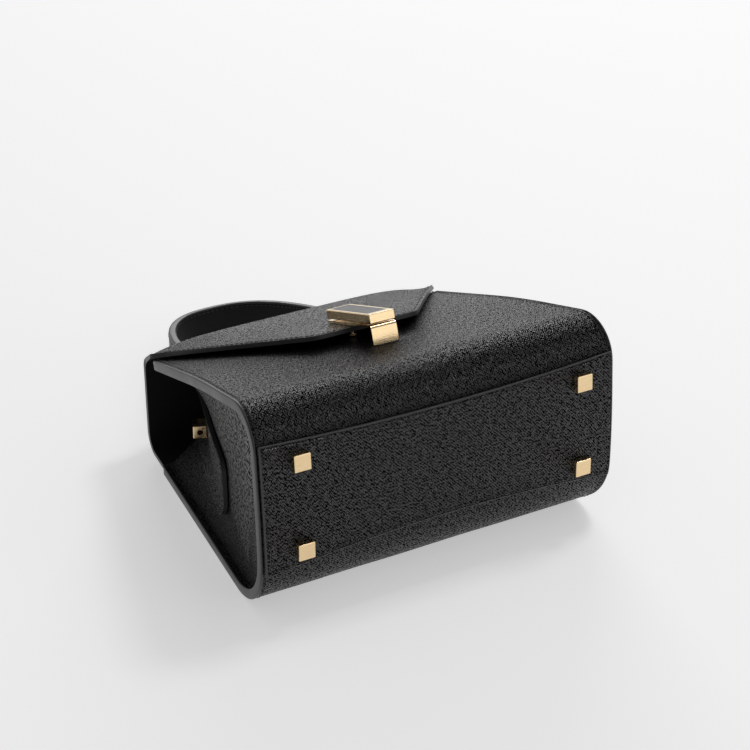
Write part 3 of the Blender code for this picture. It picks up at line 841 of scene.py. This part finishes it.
def noise_node(tree, where, scale, detail=2.0, roughness=0.5):
    """Noise texture value."""
    node = tree.nodes.new("ShaderNodeTexNoise")
    wire(tree, node.inputs["Vector"], where)
    wire(tree, node.inputs["Scale"], scale)
    node.inputs["Detail"].default_value = detail
    node.inputs["Roughness"].default_value = roughness
    return node.outputs["Fac"]


def centred(tree, value):
    """Value less a half, so that it swings about 0."""
    return sum_node(tree, "SUBTRACT", value, 0.5)


def pebble_places(tree, where):
    """Points on diagonal axes, slightly bent, so that pebbles lie in uneven diagonal rows."""
    split = tree.nodes.new("ShaderNodeSeparateXYZ")
    tree.links.new(where, split.inputs[0])
    wobble = centred(tree, noise_node(tree, where, 0.3))
    falling = sum_node(tree, "ADD", split.outputs["X"], split.outputs["Y"])
    rising = sum_node(tree, "SUBTRACT", split.outputs["X"], split.outputs["Y"])
    turned = tree.nodes.new("ShaderNodeCombineXYZ")
    for axis, diagonal, stretch in (("X", falling, 0.62), ("Y", rising, 0.8)):
        bent = sum_node(tree, "MULTIPLY_ADD", wobble, 2.0, diagonal)
        stretched = sum_node(tree, "MULTIPLY", bent, stretch)
        tree.links.new(sum_node(tree, "DIVIDE", stretched, PEBBLE_PITCH), turned.inputs[axis])
    return turned.outputs[0]


def pebbled_grain(tree, where):
    """Height and ridges of the embossed grain: small uneven pebbles with fine wrinkles."""
    pebbles = tree.nodes.new("ShaderNodeTexVoronoi")
    pebbles.voronoi_dimensions = "2D"
    set_inputs(tree, pebbles, Vector=pebble_places(tree, where), Scale=1.0,
               Randomness=PEBBLE_UNEVENNESS)
    crown = range_node(tree, pebbles.outputs["Distance"], 0.18, 0.62, 1.0, 0.0)
    wrinkle = noise_node(tree, where, 2.2, 3.0, 0.6)
    drawn_out = vector_node(tree, "MULTIPLY", where, (0.9, 0.35, 1.0))
    mottle = noise_node(tree, drawn_out, 1.0, 2.0, 0.6)
    uneven = sum_node(tree, "MULTIPLY_ADD", centred(tree, mottle), 2.4, crown)
    ridge = sum_node(tree, "MULTIPLY_ADD", centred(tree, wrinkle), 0.7, uneven, clamp=True)
    height = sum_node(tree, "MULTIPLY_ADD", wrinkle, 0.4, crown)
    height = sum_node(tree, "MULTIPLY_ADD", mottle, 1.8, height)
    return height, ridge


def rub_group():
    """Slow change of sheen where hands have rubbed the surface."""
    group, start, finish = new_group(
        "rubbed_sheen",
        [("Where", "NodeSocketVector", None), ("Size", "NodeSocketFloat", 20.0),
         ("Least", "NodeSocketFloat", 0.4), ("Most", "NodeSocketFloat", 0.6)],
        [("Roughness", "NodeSocketFloat"), ("Patch", "NodeSocketFloat")])
    ends = start.outputs
    patch = noise_node(group, ends["Where"], ends["Size"], 4.0)
    rough = range_node(group, patch, 0.3, 0.7, ends["Least"], ends["Most"])
    group.links.new(rough, finish.inputs["Roughness"])
    group.links.new(patch, finish.inputs["Patch"])
    return group


RUB = rub_group()


def new_look(name):
    """Material with its tree and shader."""
    made = bpy.data.materials.new(name)
    made.use_nodes = True
    return made, made.node_tree, made.node_tree.nodes["Principled BSDF"]


def set_inputs(tree, node, **values):
    """Links or sets a node's sockets; keyword names are theirs with _ for a space."""
    for label, value in values.items():
        wire(tree, node.inputs[label.replace("_", " ")], value)


def use_group(tree, group, **values):
    """Places a group with its own values."""
    node = tree.nodes.new("ShaderNodeGroup")
    node.node_tree = group
    set_inputs(tree, node, **values)
    return node


def coordinates(tree, kind):
    """Object coordinates, or the leather's own UV in millimetres."""
    if kind == "UV":
        node = tree.nodes.new("ShaderNodeUVMap")
        node.uv_map = "leather"
        return node.outputs["UV"]
    return tree.nodes.new("ShaderNodeTexCoord").outputs[kind]


def colour_mix(tree, share, low, high):
    """Colour between two."""
    node = tree.nodes.new("ShaderNodeMix")
    node.data_type = "RGBA"
    wire(tree, node.inputs["Factor"], share)
    wire(tree, node.inputs["A"], (*low, 1))
    wire(tree, node.inputs["B"], (*high, 1))
    return node.outputs["Result"]


def bump(tree, height, depth):
    """Normal bent by a height of a real depth."""
    node = tree.nodes.new("ShaderNodeBump")
    set_inputs(tree, node, Strength=1.0, Distance=depth, Height=height)
    return node.outputs["Normal"]


def crease(tree):
    """Pressed line along the cut edge, and the soft roll outside it."""
    node = tree.nodes.new("ShaderNodeAttribute")
    node.attribute_name = "edge_gap"
    gap = node.outputs["Fac"]
    away = sum_node(tree, "ABSOLUTE", sum_node(tree, "SUBTRACT", gap, CREASE_PLACE))
    line = range_node(tree, away, 0.1, 0.55, 1.0, 0.0)
    roll = range_node(tree, gap, 0.2, CREASE_PLACE, 1.0, 0.0)
    return line, roll


def leather_height(tree, grain_height):
    """Grain that flattens towards the rolled edge, with the pressed line in it."""
    line, roll = crease(tree)
    calm = sum_node(tree, "SUBTRACT", 1.0, sum_node(tree, "MULTIPLY", roll, 0.6))
    height = sum_node(tree, "MULTIPLY", grain_height, calm)
    return sum_node(tree, "SUBTRACT", height, sum_node(tree, "MULTIPLY", line, 2.5))


def embossed_leather(name):
    """Black leather with a pebbled grain, a semi-gloss finish, painted glints and shade in its
    grain, and a pressed line at its edges.
    """
    made, tree, shader = new_look(name)
    height, ridge = pebbled_grain(tree, coordinates(tree, "UV"))
    sheen = use_group(tree, RUB, Where=coordinates(tree, "Object"), Size=26.0, Least=0.17,
                      Most=0.25)
    valley = sum_node(tree, "SUBTRACT", 1.0, ridge)
    # The base colour is lighter on the pebble tops and darker in the valleys: painted glints on the
    # tops and painted shade in the grain's hollows.
    set_inputs(tree, shader,
               Base_Color=colour_mix(tree, ridge, (0.001, 0.001, 0.0012), (0.014, 0.014, 0.0155)),
               Roughness=sum_node(tree, "MULTIPLY_ADD", valley, 0.3, sheen.outputs["Roughness"]),
               Normal=bump(tree, leather_height(tree, height), GRAIN_DEPTH),
               Specular_IOR_Level=range_node(tree, ridge, 0.3, 0.7, 0.0, 0.7))
    return made


def edge_paint(name):
    """Smooth dark edge paint with a faint unevenness."""
    made, tree, shader = new_look(name)
    where = coordinates(tree, "Object")
    patch = use_group(tree, RUB, Where=where, Size=60.0, Least=0.34, Most=0.46).outputs
    set_inputs(tree, shader,
               Base_Color=colour_mix(tree, patch["Patch"], (0.022, 0.022, 0.024),
                                     (0.034, 0.034, 0.036)),
               Roughness=patch["Roughness"],
               Normal=bump(tree, noise_node(tree, where, 420.0, 3.0), 0.05 * MM))
    return made


def lining(name):
    """Fine matt lining on the inner faces."""
    made, tree, shader = new_look(name)
    nap = noise_node(tree, coordinates(tree, "Object"), 900.0, 4.0, 0.6)
    set_inputs(tree, shader,
               Base_Color=colour_mix(tree, nap, (0.004, 0.004, 0.0045), (0.010, 0.010, 0.011)),
               Roughness=range_node(tree, nap, 0.3, 0.7, 0.7, 0.85),
               Specular_IOR_Level=0.2,
               Normal=bump(tree, nap, 0.08 * MM))
    return made


def polished_gold(name):
    """Pale gold plating, polished, with faint hair scratches."""
    made, tree, shader = new_look(name)
    where = coordinates(tree, "Object")
    patch = use_group(tree, RUB, Where=where, Size=90.0, Least=0.06, Most=0.12)
    stretched = vector_node(tree, "MULTIPLY", where, (300.0, 3600.0, 3600.0))
    hair = noise_node(tree, stretched, 1.0)
    set_inputs(tree, shader,
               Base_Color=colour_mix(tree, hair, (0.76, 0.52, 0.26), (0.97, 0.78, 0.50)),
               Roughness=sum_node(tree, "MULTIPLY_ADD", hair, 0.08, patch.outputs["Roughness"]),
               Metallic=1.0,
               Normal=bump(tree, hair, 0.012 * MM))
    return made


def waxed_thread(name):
    """Twisted black sewing thread."""
    made, tree, shader = new_look(name)
    twist = noise_node(tree, coordinates(tree, "Object"), 3000.0, 1.0)
    set_inputs(tree, shader,
               Base_Color=colour_mix(tree, twist, (0.004, 0.004, 0.0045), (0.012, 0.012, 0.013)),
               Roughness=range_node(tree, twist, 0.3, 0.7, 0.35, 0.5),
               Normal=bump(tree, twist, 0.06 * MM))
    return made


# Thread

def stitch_tree(thread):
    """Stitches laid end to end along a line of points."""
    tree = bpy.data.node_groups.new("stitch_run", "GeometryNodeTree")
    sockets = {}
    for label, kind, way in (("Line", "Geometry", "INPUT"), ("Pitch", "Float", "INPUT"),
                             ("Length", "Float", "INPUT"), ("Radius", "Float", "INPUT"),
                             ("Stitches", "Geometry", "OUTPUT")):
        sockets[label] = tree.interface.new_socket(
            name=label, in_out=way, socket_type="NodeSocket" + kind)
    start = tree.nodes.new("NodeGroupInput")
    finish = tree.nodes.new("NodeGroupOutput")
    to_curve = tree.nodes.new("GeometryNodeMeshToCurve")
    spread = tree.nodes.new("GeometryNodeResampleCurve")
    spread.mode = "LENGTH"
    tangent = tree.nodes.new("GeometryNodeInputTangent")
    align = tree.nodes.new("FunctionNodeAlignRotationToVector")
    align.axis = "X"
    bead = tree.nodes.new("GeometryNodeMeshUVSphere")
    bead.inputs["Segments"].default_value = 8
    bead.inputs["Rings"].default_value = 6
    bead.inputs["Radius"].default_value = 1.0
    size = tree.nodes.new("ShaderNodeCombineXYZ")
    half = tree.nodes.new("ShaderNodeMath")
    half.operation = "MULTIPLY"
    half.inputs[1].default_value = 0.5
    instance = tree.nodes.new("GeometryNodeInstanceOnPoints")
    realize = tree.nodes.new("GeometryNodeRealizeInstances")
    paint = tree.nodes.new("GeometryNodeSetMaterial")
    paint.inputs["Material"].default_value = thread
    link = tree.links.new
    link(start.outputs["Line"], to_curve.inputs["Mesh"])
    link(to_curve.outputs["Curve"], spread.inputs["Curve"])
    link(start.outputs["Pitch"], spread.inputs["Length"])
    link(spread.outputs["Curve"], instance.inputs["Points"])
    link(tangent.outputs["Tangent"], align.inputs["Vector"])
    link(align.outputs["Rotation"], instance.inputs["Rotation"])
    link(bead.outputs["Mesh"], instance.inputs["Instance"])
    link(start.outputs["Length"], half.inputs[0])
    link(half.outputs[0], size.inputs["X"])
    link(start.outputs["Radius"], size.inputs["Y"])
    link(start.outputs["Radius"], size.inputs["Z"])
    link(size.outputs[0], instance.inputs["Scale"])
    link(instance.outputs["Instances"], realize.inputs["Geometry"])
    link(realize.outputs["Geometry"], paint.inputs["Geometry"])
    link(paint.outputs["Geometry"], finish.inputs["Stitches"])
    return tree, sockets


def make_stitches(name, lines, tree, sockets):
    """One piece of thread work over several lines of points."""
    points, edges = [], []
    for line in lines:
        first = len(points)
        points += line
        edges += [(first + i, first + i + 1) for i in range(len(line) - 1)]
    mesh = bpy.data.meshes.new(name)
    mesh.from_pydata(points, edges, [])
    guide = bpy.data.objects.new(name + "_line", mesh)
    bpy.context.collection.objects.link(guide)
    modifier = guide.modifiers.new("stitches", "NODES")
    modifier.node_group = tree
    modifier[sockets["Pitch"].identifier] = STITCH_PITCH
    modifier[sockets["Length"].identifier] = STITCH_LENGTH
    modifier[sockets["Radius"].identifier] = THREAD_RADIUS
    bpy.context.view_layer.update()
    depsgraph = bpy.context.evaluated_depsgraph_get()
    sewn = bpy.data.meshes.new_from_object(guide.evaluated_get(depsgraph))
    bpy.data.objects.remove(guide)
    sewn.shade_smooth()
    stitches = bpy.data.objects.new(name, sewn)
    bpy.context.collection.objects.link(stitches)
    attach(stitches, BODY)


def flap_stitch_line():
    """Along the free edge of the flap, on its outer face."""
    edge = tongue_edge(2.0 * MM)
    half_fold = half_length(front_point(SHOULDER_REACH, 0.0))
    line = []
    for index, end in enumerate(edge):
        before = edge[max(index - 1, 0)]
        after = edge[min(index + 1, len(edge) - 1)]
        along = (after - before).normalized()
        inwards = Vector((-along.y, along.x))
        if inwards.y < 0:
            inwards = -inwards
        spot = end + inwards * SEAM_MARGIN
        share = spot.x / half_fold
        if abs(share) > FLAP_STITCH_END:
            continue
        side_line = flap_line(share, tongue_reach_at(edge, spot.x))
        root, tip = side_line[-2], side_line[-1]
        part = (spot.y - front_reach(root)) / (front_reach(tip) - front_reach(root))
        point = mix(root, tip, min(max(part, 0.0), 1.0)) + FRONT_NORMAL * THREAD_LIFT
        line.append(place(spot.x, point))
    return line


def tongue_reach_at(edge, x):
    """Reach of the free edge at a length."""
    return crossing(edge, lambda spot: spot.x, x).y


def panel_stitch_lines():
    """Along the two long edges of the base panel."""
    columns, steps = 70, 2
    rows = panel_grid(columns, steps, SEAM_MARGIN, SEAM_GAP + PANEL_WALL + THREAD_LIFT)
    return [[row[0] for row in rows], [row[-1] for row in rows]]


def handle_stitch_lines():
    """Near both rims, on the handle's inner and outer faces."""
    centre = even(handle_centre(), SEAM_SPACING)
    lines = []
    for across in (-1, 1):
        face = shifted(centre, across * (HANDLE_THICKNESS / 2 + THREAD_LIFT))
        for share in (SEAM_MARGIN / HANDLE_WIDTH, 1 - SEAM_MARGIN / HANDLE_WIDTH):
            lines.append([handle_spot(point, share) for point in face])
    return lines


def tab_stitch_line(end):
    """Round the side tab's edge."""
    rises, half_columns = 40, 6
    lift = TAB_SEAT + TAB_WALL * TAB_SWELL + THREAD_LIFT
    rows, _ = tab_rows(end, rises, half_columns, SEAM_MARGIN, lift)
    return [row[0] for row in reversed(rows)] + rows[0][1:-1] + [row[-1] for row in rows]


def wrap_stitch_lines():
    """Along both ends of the wrap, through the gusset's flange."""
    raised = even(shifted(PROFILE, -THREAD_LIFT), SEAM_SPACING)
    return [[place(end * (half_length(point) - BODY_SEAM_MARGIN), point) for point in raised]
            for end in (-1, 1)]


# Set

def make_floor():
    """Plain pale floor of a light table: it glows a little, which keeps the shadows faint."""
    made, tree, shader = new_look("pale_floor")
    cloud = noise_node(tree, coordinates(tree, "Object"), 3.0)
    set_inputs(tree, shader,
               Base_Color=colour_mix(tree, cloud, (0.86, 0.86, 0.86), (0.87, 0.87, 0.87)),
               Roughness=0.9, Specular_IOR_Level=0.1,
               Emission_Color=(1, 1, 1, 1), Emission_Strength=0.44)
    mesh = bpy.data.meshes.new("floor")
    corners = [(x * FLOOR_REACH, y * FLOOR_REACH, 0)
               for x, y in ((-1, -1), (1, -1), (1, 1), (-1, 1))]
    mesh.from_pydata(corners, [], [(0, 1, 2, 3)])
    mesh.materials.append(made)
    floor = bpy.data.objects.new("floor", mesh)
    floor.location.z = -FLOOR_DROP
    bpy.context.collection.objects.link(floor)


def add_light(name, direction, distance, size, power):
    """Soft rectangular light that looks at the bag."""
    light = bpy.data.lights.new(name, "AREA")
    light.shape = "RECTANGLE"
    light.size, light.size_y = size
    light.energy = power
    made = bpy.data.objects.new(name, light)
    away = Vector(direction).normalized()
    made.location = TARGET + away * distance
    made.rotation_mode = "QUATERNION"
    made.rotation_quaternion = (-away).to_track_quat("-Z", "Y")
    bpy.context.collection.objects.link(made)


def light_set():
    """Wide soft light and a small key overhead, one behind, one in front, and a weak even glow."""
    add_light("overhead_softbox", (0.35, -0.25, 1.0), 2.0, (3.0, 3.0), 3.5)
    add_light("key_softbox", (0.42, 0.05, 0.9), 1.7, (0.35, 0.35), 4.5)
    add_light("back_softbox", (0.45, 0.86, 0.33), 3.2, (1.9, 1.4), 34)
    add_light("front_softbox", (0.42, -0.88, 0.24), 3.2, (2.4, 1.2), 9)
    world = bpy.data.worlds.new("studio")
    bpy.context.scene.world = world
    world.use_nodes = True
    background = world.node_tree.nodes["Background"]
    background.inputs["Color"].default_value = (1, 1, 1, 1)
    background.inputs["Strength"].default_value = 0.2
    bpy.context.scene.view_settings.view_transform = "Standard"


def add_camera():
    """Camera at the photograph's place and angle."""
    level = Vector((math.sin(CAMERA_AZIMUTH), -math.cos(CAMERA_AZIMUTH), 0))
    back = level * math.cos(CAMERA_ELEVATION) + Vector((0, 0, math.sin(CAMERA_ELEVATION)))
    right = Vector((math.cos(CAMERA_AZIMUTH), math.sin(CAMERA_AZIMUTH), 0))
    up = back.cross(right)
    turned_right = right * math.cos(CAMERA_ROLL) + up * math.sin(CAMERA_ROLL)
    turned_up = up * math.cos(CAMERA_ROLL) - right * math.sin(CAMERA_ROLL)
    data = bpy.data.cameras.new("camera")
    data.sensor_width = 36
    data.lens = CAMERA_LENS
    data.clip_start, data.clip_end = 0.05, 60
    camera = bpy.data.objects.new("camera", data)
    turn = Matrix((turned_right, turned_up, back)).transposed().to_4x4()
    camera.matrix_world = Matrix.Translation(TARGET + back * CAMERA_DISTANCE) @ turn
    bpy.context.collection.objects.link(camera)
    bpy.context.scene.camera = camera


def paint_nodes(names, look):
    """Gives CAD nodes their finish."""
    for name in names:
        node = nodes[name]
        node.data.materials.clear()
        node.data.materials.append(look)


add_camera()
leather = embossed_leather("embossed_black_leather")
paint = edge_paint("painted_edge")
inside = lining("dark_lining")
gold = polished_gold("pale_gold")
thread = waxed_thread("black_thread")
sheet_looks = [leather, inside, paint]

make_wrap(sheet_looks)
for end, side_name in ((-1, "left"), (1, "right")):
    make_gusset(end, side_name + "_gusset_leather", side_name + "_gusset", sheet_looks)
    make_side_tab(end, side_name + "_tab_leather", side_name + "_side_tab", sheet_looks)
    make_edge_band(end, side_name + "_edge_band", paint)
make_flap(sheet_looks)
make_base_panel(sheet_looks)
make_handle([leather, paint, inside])

run, run_sockets = stitch_tree(thread)
for name, lines in (("flap_stitches", [flap_stitch_line()]),
                    ("base_stitches", panel_stitch_lines()),
                    ("handle_stitches", handle_stitch_lines()),
                    ("left_tab_stitches", [tab_stitch_line(-1)]),
                    ("right_tab_stitches", [tab_stitch_line(1)]),
                    ("body_stitches", wrap_stitch_lines())):
    make_stitches(name, lines, run, run_sockets)

paint_nodes(["foot_1", "foot_2", "foot_3", "foot_4", "left_lug", "right_lug", "lock_plate",
             "lock_block", "lock_post"], gold)
paint_nodes(["lock_inlay"], leather)

make_floor()
light_set()
